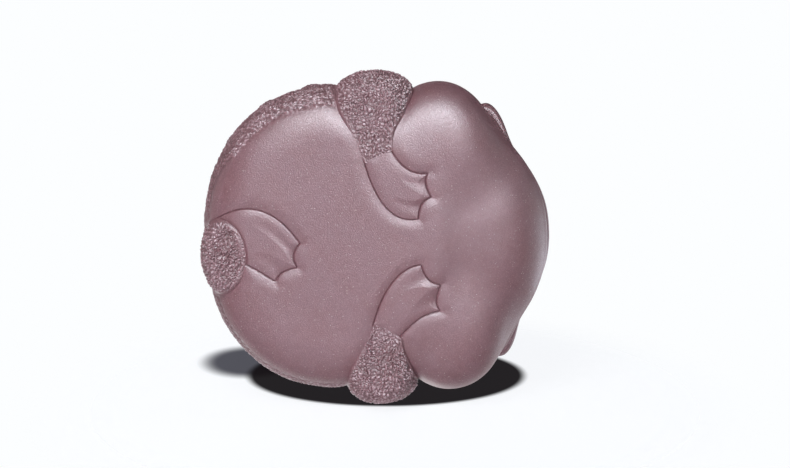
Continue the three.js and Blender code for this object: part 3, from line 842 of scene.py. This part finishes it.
def make_wart(name, node, radius, finish):
    """A round pellet pressed on to the back: it follows the skin, swells in the middle, and its
    edge and underside lie in the skin."""
    direction = node_middle(node) - HEART
    direction /= np.linalg.norm(direction)
    centre = march(body_distance, HEART, direction[None])[0]
    normal = outward(body_distance, centre)
    side, other = axes_for(normal)
    columns = int(72 * FINE)
    share = np.concatenate([np.linspace(0, 1.06, int(22 * FINE))[1:], np.linspace(0.98, 0, 7)[:-1]])
    depth = np.concatenate([np.ones(int(22 * FINE) - 1), np.zeros(6)])
    angle = np.linspace(0, 2 * math.pi, columns, endpoint=False)
    wobble = 1 + 0.05 * np.sin(2 * angle + radius * 9 + centre[0]) + 0.03 * np.sin(3 * angle + centre[1])
    r = radius * share[:, None] * wobble[None, :]
    flat = r[..., None] * (np.cos(angle)[:, None] * side + np.sin(angle)[:, None] * other)
    ray = centre - HEART + np.concatenate([np.zeros((1, 3)), flat.reshape(-1, 3), np.zeros((1, 3))])
    skin = march(body_distance, HEART, ray / np.linalg.norm(ray, axis=-1, keepdims=True))
    up = outward(body_distance, skin)
    s = np.concatenate([[0.0], np.repeat(share, columns), [0.0]])
    on_top = np.concatenate([[1.0], np.repeat(depth, columns), [0.0]])
    dome = 1.45 * np.maximum(1 - np.minimum(s, 1.06) ** 2.3, -0.4) * (1 - 0.12 * np.exp(-(s / 0.3) ** 2))
    relief = pebbles(skin) * smooth(1.05, 0.8, s) * on_top
    height = np.where(on_top > 0.5, dome + 0.6 * relief - 0.12, -1.3)
    points = skin + up * height[:, None]
    make_piece(name, points, ball_quads(len(share), columns), finish, node, on_top, relief)


def make_eye(side_name, sign, smooth_clay, rough_clay):
    """A ball with a faint ring round its pupil, and a hood over it: a bowl round the ball whose rim
    is rolled, let into the head."""
    centre = node_middle(side_name + "_eyeball")
    look = from_head(EYE_LOOK * (sign, 1, 1)) - from_head((0, 0, 0))
    columns = int(96 * FINE)
    rows = int(64 * FINE)
    polar = np.linspace(0, math.pi, rows + 2)[1:-1]
    ring = 0.16 * np.exp(-((polar - 0.5) / 0.07) ** 2)
    radius = EYE_RADIUS - ring + 0.06 * np.exp(-((polar - 0.28) / 0.16) ** 2)
    ball = centre + radius[:, None, None] * spin(look, polar, columns)
    front, back = centre + look * (EYE_RADIUS + 0.06), centre - look * EYE_RADIUS
    points = np.concatenate([[front], ball.reshape(-1, 3), [back]])
    make_piece(side_name + "_eye", points, ball_quads(rows, columns), smooth_clay,
               side_name + "_eyeball")

    axis = np.array([-0.2 * sign, 0.72, 0.66])
    axis /= np.linalg.norm(axis)
    inner = EYE_RADIUS + 0.12
    outer = EYE_RADIUS + LID_THICKNESS
    open_angle = math.acos(LID_SETBACK / outer)
    steps = int(40 * FINE)
    outside = np.linspace(0, open_angle, steps)[1:]
    roll = np.linspace(0, math.pi, 9)[1:-1]
    inside = np.linspace(open_angle, 0, steps)[:-1]
    middle = (inner + outer) / 2
    half = (outer - inner) / 2
    rim_polar = open_angle + half / middle * np.sin(roll)
    polar = np.concatenate([outside, rim_polar, inside])
    fold = 0.16 * np.sin(outside * 9.0) * np.exp(-((outside - 0.9) / 0.45) ** 2)
    radius = np.concatenate([outer + fold, middle + half * np.cos(roll), np.full(len(inside), inner)])
    lid = centre + radius[:, None, None] * spin(axis, polar, columns)
    points = np.concatenate([[centre + axis * outer], lid.reshape(-1, 3), [centre + axis * inner]])
    points = let_in(points, LID_BED)
    make_piece(side_name + "_lid", points, ball_quads(len(polar), columns), rough_clay,
               side_name + "_eyelid")


# finishes

class Wire:
    """One output of a shader tree that sums, multiplies and compares as a number."""

    def __init__(self, tree, socket):
        self.tree = tree
        self.socket = socket

    def beside(self, name):
        """Another output of the same node."""
        return Wire(self.tree, self.socket.node.outputs[name])

    def maths(self, operation, first, second):
        return self.tree.node("ShaderNodeMath", {0: first, 1: second}, operation=operation)

    def most(self, other):
        return self.maths("MAXIMUM", self, other)

    def __add__(self, other):
        return self.maths("ADD", self, other)

    __radd__ = __add__

    def __sub__(self, other):
        return self.maths("SUBTRACT", self, other)

    def __rsub__(self, other):
        return self.maths("SUBTRACT", other, self)

    def __mul__(self, other):
        return self.maths("MULTIPLY", self, other)

    __rmul__ = __mul__

    def __lt__(self, other):
        return self.maths("LESS_THAN", self, other)

    def __gt__(self, other):
        return self.maths("GREATER_THAN", self, other)


class Tree:
    """A material's or the world's node tree."""

    def __init__(self, owner):
        owner.use_nodes = True
        self.nodes = owner.node_tree.nodes
        self.links = owner.node_tree.links
        self.nodes.clear()

    def node(self, kind, inputs=None, output=0, **settings):
        """A node of a type, its settings made first, then its sockets given values or wires."""
        made = self.nodes.new(kind)
        for key, value in settings.items():
            setattr(made, key, value)
        for key, value in (inputs or {}).items():
            if isinstance(value, Wire):
                self.links.new(value.socket, made.inputs[key])
            else:
                made.inputs[key].default_value = value
        return Wire(self, made.outputs[output]) if made.outputs else None

    def mix(self, share, low, high):
        """Colours mixed by a share."""
        return self.node("ShaderNodeMix", {0: share, 6: low, 7: high}, 2, data_type="RGBA")

    def mix_surfaces(self, share, first, second):
        return self.node("ShaderNodeMixShader", {0: share, 1: first, 2: second})

    def ramp(self, value, low, high):
        """0 below low, 1 above high, with an S curve between."""
        return self.node("ShaderNodeMapRange", {"Value": value, "From Min": low, "From Max": high},
                         interpolation_type="SMOOTHSTEP")


def new_material(name, build):
    """A material whose surface is what build makes in its emptied tree."""
    material = bpy.data.materials.new(name)
    tree = Tree(material)
    tree.node("ShaderNodeOutputMaterial", {"Surface": build(tree)})
    return material


def linear(r, g, b):
    """A colour written in 0 to 255 as the shader needs it."""
    def one(v):
        v = v / 255
        return v / 12.92 if v <= 0.04045 else ((v + 0.055) / 1.055) ** 2.4
    return (one(r), one(g), one(b), 1.0)


def clay(name, ground, warm, pale, gloss, grain):
    """Unglazed clay: a ground colour that drifts between warmer and paler over millimetres, pale and
    dark sand in it, and a fine grain. On the hide, shade is painted darker into its furrows and a
    highlight is painted paler on its grains.
    It comes with the name of its slot, which is its own."""
    def build(tree):
        place = tree.node("ShaderNodeTexCoord", output="Object")
        mm = tree.node("ShaderNodeVectorMath", {0: place, "Scale": 1000.0}, operation="SCALE")

        def noise(scale, detail=2.0, rough=0.5):
            return tree.node("ShaderNodeTexNoise",
                             {"Vector": mm, "Scale": scale, "Detail": detail, "Roughness": rough})

        def sand(scale, size, rare, seed):
            """Scattered grains: small discs in some of the cells of a scatter."""
            shift = (seed, seed * 2.0, seed * 3.0)
            shifted = tree.node("ShaderNodeVectorMath", {0: mm, 1: shift}, operation="ADD")
            near = tree.node("ShaderNodeTexVoronoi", {"Vector": shifted, "Scale": scale}, "Distance")
            chance = tree.node("ShaderNodeSeparateColor", {"Color": near.beside("Color")})
            return (1.0 - tree.ramp(near, size * 0.55, size)) * (chance > rare)

        grit = noise(3.3, 1.0)
        pale_sand = sand(1.2, 0.15, 0.66, 3.0)
        fine_sand = sand(1.9, 0.2, 0.4, 8.0)
        dark_sand = sand(1.6, 0.16, 0.8, 15.0)
        hide, relief = (tree.node("ShaderNodeAttribute", None, 2, attribute_name=label)
                        for label in ("hide", "relief"))
        # painted shade where the hide's relief dips into furrows, and a painted highlight where it stands
        # up on grains
        furrow = 1.0 - tree.ramp(relief, -0.24, -0.04)
        crest_painted_highlight = tree.ramp(relief, -0.04, 0.2)
        colour = ground
        for share, other in (
                (tree.ramp(noise(0.09), 0.35, 0.68), warm),
                (tree.ramp(noise(0.42, 3.0, 0.6), 0.3, 0.72) * 0.45, pale),
                (tree.ramp(noise(2.6), 0.52, 0.75) * 0.22, linear(128, 94, 102)),
                (tree.ramp(grit, 0.5, 0.7) * 0.3, linear(158, 120, 128)),
                ((1.0 - tree.ramp(grit, 0.3, 0.5)) * 0.3, linear(102, 70, 76)),
                (pale_sand * 0.75, linear(226, 206, 206)),
                (fine_sand * 0.5, linear(190, 160, 164)),
                (dark_sand * 0.4, linear(92, 62, 66)),
                # painted shade in the hide's furrows, then a painted highlight on its grains' tops
                (furrow * hide * 0.38, linear(82, 56, 60)),
                (crest_painted_highlight * hide * 0.65, linear(198, 162, 172))):
            colour = tree.mix(share, colour, other)
        roughness = noise(0.8, 3.0) * 0.14 + (gloss - 0.07) - pale_sand * 0.1 - crest_painted_highlight * hide * 0.1
        knots = tree.node("ShaderNodeTexVoronoi", {"Vector": mm, "Scale": 1.5})
        fine = noise(3.2, 2.0, 0.6) * 1.3 + noise(1.7) * 0.6 + (pale_sand + fine_sand) * 0.3
        bump = tree.node("ShaderNodeBump", {"Strength": grain, "Distance": 0.0001,
                                            "Height": fine - knots * hide * 1.6})
        return tree.node("ShaderNodeBsdfPrincipled", {"Base Color": colour, "Roughness": roughness,
                                                      "Normal": bump, "Specular IOR Level": 0.5})

    return new_material(name, build), name


# stage and light

FLOOR_GAP = 0.25                         # the level floor lies this far below the belly
LAYER_GAP = 0.05                         # between the level floor's two layers
LEAN_FLOOR_TILT = math.radians(15)
LEAN_FLOOR_TOUCH = np.array([48.2, 0.0, 12.4])      # where the toad's left flank meets it


def flat_sheet(name, centre, side, up, half_side, half_up, material):
    """A plane rectangle given by its middle and two directions; it faces along side x up."""
    corners = [centre - side * half_side - up * half_up, centre + side * half_side - up * half_up,
               centre + side * half_side + up * half_up, centre - side * half_side + up * half_up]
    mesh = bpy.data.meshes.new(name)
    mesh.from_pydata([tuple(c * MM) for c in corners], [], [(0, 1, 2, 3)])
    mesh.materials.append(material)
    sheet = bpy.data.objects.new(name, mesh)
    bpy.context.scene.collection.objects.link(sheet)
    return sheet


def unseen(thing, *kinds):
    """Keeps an object out of some kinds of light paths."""
    for kind in kinds:
        setattr(thing, "visible_" + kind, False)


def level_floor():
    """The floor under the resting toad, which fades out all round. It shows from above, and lets
    through what comes from below, together with all light on that way. It has two layers, so that
    what came through both of them is told from what only crossed the leaning floor."""
    def build(tree):
        seen = tree.node("ShaderNodeLightPath", output="Is Camera Ray")
        passed = (seen.beside("Transparent Depth") > 1.5) * (1.0 - seen)
        place = tree.node("ShaderNodeTexCoord", output="Object")
        away = tree.node("ShaderNodeVectorMath", {0: place}, "Value", operation="LENGTH")
        below = tree.node("ShaderNodeNewGeometry", output="Backfacing")
        gone = tree.ramp(away, 0.15, 0.55).most(below).most(passed)
        paper = tree.node("ShaderNodeBsdfDiffuse", {"Color": linear(244, 245, 246)})
        white = tree.node("ShaderNodeEmission", {"Color": linear(250, 252, 255), "Strength": 1.0})
        lit = tree.mix_surfaces(seen * 0.6, paper, white)
        return tree.mix_surfaces(gone, lit, tree.node("ShaderNodeBsdfTransparent"))

    material = new_material("level_floor", build)
    across, along = np.array([1.0, 0, 0]), np.array([0, 1.0, 0])
    for name, depth in (("level_floor", FLOOR_GAP), ("level_underlay", FLOOR_GAP + LAYER_GAP)):
        flat_sheet(name, np.array([0, 0, -depth]), across, along, 700, 700, material)


def leaning_floor():
    """The surface that the toad leans on in the picture, at its left flank. It shows only through the
    level floor or below it, and fades out all round. A dark contact shadow under the toad and a grey
    shadow beside it at its left are painted into its colour."""
    deep = math.cos(LEAN_FLOOR_TILT) * VIEW_AXIS + math.sin(LEAN_FLOOR_TILT) * VIEW_UP
    centre = LEAN_FLOOR_TOUCH + VIEW_RIGHT * 4.0

    def build(tree):
        place = tree.node("ShaderNodeTexCoord", output="Object")
        middle = tuple(centre * MM)
        shifted = tree.node("ShaderNodeVectorMath", {0: place, 1: middle}, operation="SUBTRACT")

        def along(direction, size):
            return tree.node("ShaderNodeVectorMath", {0: shifted, 1: tuple(direction / (size * MM))},
                             "Value", operation="DOT_PRODUCT")

        def oval(right, back, half_right, half_back):
            """Squared share of the way from a place on the floor to an oval round it."""
            a = along(VIEW_RIGHT, half_right) - right / half_right
            b = along(deep, half_back) - back / half_back
            return a * a + b * b

        shown = 1.0 - tree.ramp(oval(0.0, 0.0, 108.0, 98.0), 0.45, 1.0)
        # painted shadows: a dark contact shadow under the toad, and a grey shadow beside it at its left
        painted_contact_shadow = 1.0 - tree.ramp(oval(-2.5, 25.6, 42.5, 29.5), 0.86, 1.02)
        beside = 1.0 - tree.ramp(oval(-44.0, 38.0, 16.0, 17.0), 0.35, 1.1)
        height = tree.node("ShaderNodeSeparateXYZ", {0: place}, 2)
        passed = tree.node("ShaderNodeLightPath", output="Transparent Depth") > 0.5
        front = 1.0 - tree.node("ShaderNodeNewGeometry", output="Backfacing")
        # the paper's colour with the painted shadows in it; its diffuse share also takes the toad's real
        # shadow
        floor_colour_with_painted_shadows = tree.mix(beside * 0.96, linear(250, 252, 255), linear(64, 64, 74))
        floor_colour_with_painted_shadows = tree.mix(painted_contact_shadow * 0.99, floor_colour_with_painted_shadows, linear(25, 21, 24))
        paper = tree.node("ShaderNodeBsdfDiffuse", {"Color": floor_colour_with_painted_shadows})
        white = tree.node("ShaderNodeEmission", {"Color": floor_colour_with_painted_shadows, "Strength": 1.08})
        lit = tree.mix_surfaces(0.85, paper, white)
        clear = tree.node("ShaderNodeBsdfTransparent")
        return tree.mix_surfaces(shown * passed.most(height < (-FLOOR_GAP * MM)) * front, clear, lit)

    material = new_material("leaning_floor", build)
    floor = flat_sheet("leaning_floor", centre, VIEW_RIGHT, deep, 110, 100, material)
    unseen(floor, "shadow", "diffuse", "glossy", "transmission")


def dark_card():
    """A dark card over the toad, on its right: it shows only in the clay's gloss, and keeps the upper
    edges of the picture from catching the white room."""
    material = new_material("dark_card",
                            lambda tree: tree.node("ShaderNodeBsdfDiffuse", {"Color": linear(30, 28, 30)}))
    card = flat_sheet("dark_card", view_place(60, 330, 240), VIEW_RIGHT, VIEW_UP, 420, 290, material)
    unseen(card, "camera", "diffuse", "shadow", "transmission")


def white_world():
    """White where the camera, a mirror or glass looks past the object, and a soft even light."""
    world = bpy.data.worlds.new("white_room")
    bpy.context.scene.world = world
    tree = Tree(world)
    seen = tree.node("ShaderNodeLightPath", output="Is Camera Ray")
    seen = seen.most(seen.beside("Is Glossy Ray")).most(seen.beside("Is Transmission Ray"))
    soft = tree.node("ShaderNodeBackground", {"Color": (0.93, 0.96, 1.0, 1.0), "Strength": 0.18})
    white = tree.node("ShaderNodeBackground", {"Color": (0.975, 0.99, 1.0, 1.0), "Strength": 1.0})
    tree.node("ShaderNodeOutputWorld", {"Surface": tree.mix_surfaces(seen, soft, white)})


def lamp(name, place, size, power, colour=(1.0, 1.0, 1.0), matt=True, mirrored=True, target=(0, 0, 0)):
    """A soft square lamp at a place, turned to a target. One that isn't matt makes only gloss, and one
    that isn't mirrored makes none."""
    data = bpy.data.lights.new(name, "AREA")
    data.shape = "RECTANGLE"
    data.size, data.size_y = (s * MM for s in size)
    data.energy = power
    data.color = colour
    made = bpy.data.objects.new(name, data)
    made.location = Vector(np.asarray(place, float) * MM)
    aim = Vector(np.asarray(target, float) * MM) - made.location
    made.rotation_euler = aim.to_track_quat("-Z", "Y").to_euler()
    made.visible_camera = False
    made.visible_diffuse = matt
    made.visible_glossy = mirrored
    bpy.context.scene.collection.objects.link(made)


def make_lights():
    lamp("key_below", view_place(-200, 420, -440), (360, 300), 2.0, mirrored=False)
    lamp("key_gloss", view_place(90, 330, -540), (300, 250), 16.0, (0.91, 0.94, 1.0), matt=False)
    lamp("sheet_gloss", view_place(-60, -60, -640), (860, 760), 2.6, (0.9, 0.86, 1.0), matt=False)
    lamp("sheet_below", view_place(-100, -80, -640), (800, 600), 1.2, (0.97, 0.98, 1.0), mirrored=False)
    lamp("fill_below", view_place(-160, -380, -380), (500, 400), 1.2, (0.88, 0.95, 1.0))
    lamp("side_gloss", view_place(320, 50, -540), (150, 200), 1.2, (0.94, 0.93, 1.0), matt=False)
    lamp("rim_below", view_place(340, -60, 380), (120, 340), 0.4, (0.85, 0.88, 1.0), matt=False)
    back = (0, 0, 15)
    lamp("key_above", (-100, 100, 700), (460, 460), 3.6, target=back)
    lamp("fill_above", (460, 260, 480), (520, 520), 1.3, target=back)
    lamp("front", (60, -560, 260), (420, 260), 0.7, (0.9, 0.95, 1.0), target=back)


# the whole toad

def make_toad():
    smooth_clay = clay("smooth_clay", linear(127, 85, 93), linear(125, 80, 86), linear(136, 97, 107),
                       gloss=0.42, grain=0.8)
    rough_clay = clay("rough_clay", linear(127, 86, 93), linear(123, 80, 86), linear(136, 97, 106),
                      gloss=0.4, grain=1.0)
    make_trunk(smooth_clay, rough_clay)
    for number, (side, leg) in enumerate(LEGS.items()):
        heart = (leg["sign"] * LEG_MIDDLE[0], LEG_MIDDLE[1] + leg["shift"], LEG_MIDDLE[2])
        make_leg(side + "_foreleg", lambda p, leg=leg: foreleg_distance(p, leg), heart,
                 lambda p, leg=leg: leg_lines(p, leg), 31 + number, rough_clay, "front_" + side + "_leg")
    make_leg("hind_thigh", thigh_distance, THIGH["centre"], thigh_lines, 35, rough_clay, "hind_leg")
    feet = (("left", "front_left_foot"), ("right", "front_right_foot"), ("hind", "hind_foot"))
    for side, node in feet:
        make_foot(side + "_webbed_foot", FEET[side], smooth_clay, node)
    make_eye("left", 1, smooth_clay, rough_clay)
    make_eye("right", -1, smooth_clay, rough_clay)
    for number, radius in enumerate([4.3] * 8 + [4.0] * 6 + [3.6] * 4, 1):
        make_wart(f"wart_{number:02d}", f"back_wart_{number:02d}", radius, rough_clay)


make_toad()
level_floor()
leaning_floor()
dark_card()
white_world()
make_lights()
bpy.context.scene.view_settings.view_transform = "Standard"
